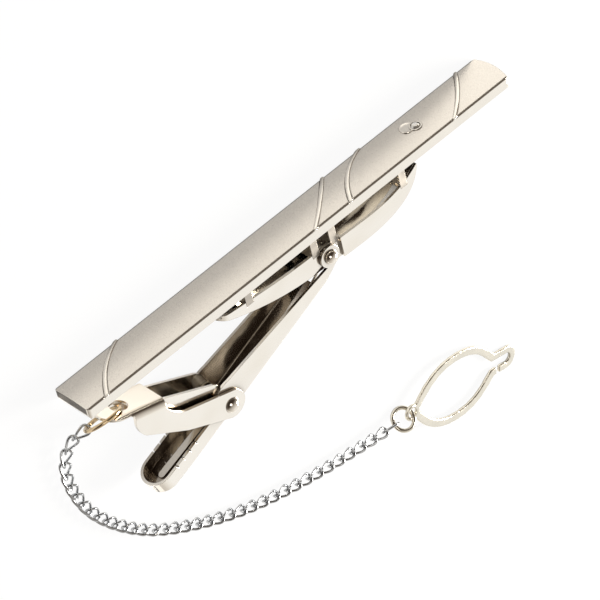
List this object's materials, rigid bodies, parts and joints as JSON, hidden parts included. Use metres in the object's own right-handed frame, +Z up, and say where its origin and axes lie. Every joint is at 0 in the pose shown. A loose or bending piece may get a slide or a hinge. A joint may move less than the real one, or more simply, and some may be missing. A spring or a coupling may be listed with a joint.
{
  "type": "tie clip",
  "caption": "Slim tie clip with a satin bar, a hinged spring clamp arm, a tilting jaw, and a safety chain that ends in a button loop",
  "frame": {"origin": "middle of the long side face that the bar lies on", "axes": "X along the bar toward the chain's end, Y from the bar's face to its back, Z up from the surface it lies on"},
  "size_m": [0.061, 0.0419, 0.005],
  "materials": {
    "satin_plate": "satin",
    "polished_plate": "polished",
    "ring_wire": "polished",
    "chain_wire": "polished",
    "spring_wire": "plain",
    "stone": "polished"
  },
  "bodies": {
    "bar": {"front_bar": "satin_plate", "crystal": "stone", "stone_bezel": "polished_plate", "base_bridge": "polished_plate", "lug_1": "polished_plate", "lug_2": "polished_plate", "lug_3": "polished_plate", "lug_4": "polished_plate", "arm_pin": "polished_plate", "arm_spring": "spring_wire"},
    "arm": {"clamp_arm": "polished_plate"},
    "jaw": {"jaw_cover": "polished_plate", "jaw_channel": "polished_plate", "jaw_pin": "polished_plate", "jaw_spring": "spring_wire"},
    "ring": {"jump_ring": "ring_wire"},
    "chain_1": {"chain_link_01": "chain_wire", "chain_link_02": "chain_wire", "chain_link_03": "chain_wire", "chain_link_04": "chain_wire", "chain_link_05": "chain_wire", "chain_link_06": "chain_wire"},
    "chain_2": {"chain_link_07": "chain_wire", "chain_link_08": "chain_wire", "chain_link_09": "chain_wire", "chain_link_10": "chain_wire", "chain_link_11": "chain_wire", "chain_link_12": "chain_wire"},
    "chain_3": {"chain_link_13": "chain_wire", "chain_link_14": "chain_wire", "chain_link_15": "chain_wire", "chain_link_16": "chain_wire", "chain_link_17": "chain_wire", "chain_link_18": "chain_wire"},
    "chain_4": {"chain_link_19": "chain_wire", "chain_link_20": "chain_wire", "chain_link_21": "chain_wire", "chain_link_22": "chain_wire", "chain_link_23": "chain_wire", "chain_link_24": "chain_wire", "chain_link_25": "chain_wire"},
    "chain_5": {"chain_link_26": "chain_wire", "chain_link_27": "chain_wire", "chain_link_28": "chain_wire", "chain_link_29": "chain_wire", "chain_link_30": "chain_wire", "chain_link_31": "chain_wire"},
    "chain_6": {"chain_link_32": "chain_wire", "chain_link_33": "chain_wire", "chain_link_34": "chain_wire", "chain_link_35": "chain_wire", "chain_link_36": "chain_wire", "chain_link_37": "chain_wire"},
    "end_ring": {"end_ring": "polished_plate"},
    "loop": {"button_loop": "polished_plate"}
  },
  "joints": [
    {"name": "arm_hinge", "type": "hinge", "parent": "bar", "child": "arm", "pos_m": [-0.0028, 0.00445, 0.00252], "axis": [0, 0, 1], "range_deg": [-19, 6]},
    {"name": "jaw_hinge", "type": "hinge", "parent": "arm", "child": "jaw", "pos_m": [0.01327, 0.01192, 0.00252], "axis": [0, 0, 1], "range_deg": [-11.03, 33.84]},
    {"name": "ring_swivel", "type": "hinge", "parent": "jaw", "child": "ring", "pos_m": [0.02447, 0.0043, 0.00252], "axis": [0, 0, 1], "range_deg": [-4, 1.5]},
    {"name": "chain_swing", "type": "hinge", "parent": "ring", "child": "chain_1", "pos_m": [0.02819, 0.00495, 0.00159], "axis": [0, 0, 1], "range_deg": [-8, 5]},
    {"name": "chain_bend", "type": "hinge", "parent": "chain_1", "child": "chain_2", "pos_m": [0.03088, 0.01234, 0.00072], "axis": [0, 0, 1], "range_deg": [-3, 2.5]},
    {"name": "chain_bend_2", "type": "hinge", "parent": "chain_2", "child": "chain_3", "pos_m": [0.02669, 0.02042, 0.00072], "axis": [0, 0, 1], "range_deg": [-3, 2.5]},
    {"name": "chain_bend_3", "type": "hinge", "parent": "chain_3", "child": "chain_4", "pos_m": [0.0197, 0.02633, 0.00072], "axis": [0, 0, 1], "range_deg": [-3, 2.5]},
    {"name": "chain_bend_4", "type": "hinge", "parent": "chain_4", "child": "chain_5", "pos_m": [0.01002, 0.03091, 0.00072], "axis": [0, 0, 1], "range_deg": [-3, 2.5]},
    {"name": "chain_bend_5", "type": "hinge", "parent": "chain_5", "child": "chain_6", "pos_m": [0.00113, 0.03325, 0.00072], "axis": [0, 0, 1], "range_deg": [-3, 2.5]},
    {"name": "end_ring_swing", "type": "hinge", "parent": "chain_6", "child": "end_ring", "pos_m": [-0.00797, 0.03451, 0.00113], "axis": [0, 0, 1], "range_deg": [-4, 4]},
    {"name": "loop_swing", "type": "hinge", "parent": "end_ring", "child": "loop", "pos_m": [-0.01022, 0.03462, 0.00113], "axis": [0, 0, 1], "range_deg": [-10, 10]}
  ],
  "couplings": [
    {"joint": "jaw_hinge", "follows": "arm_hinge", "ratio": -1.7545}
  ]
}
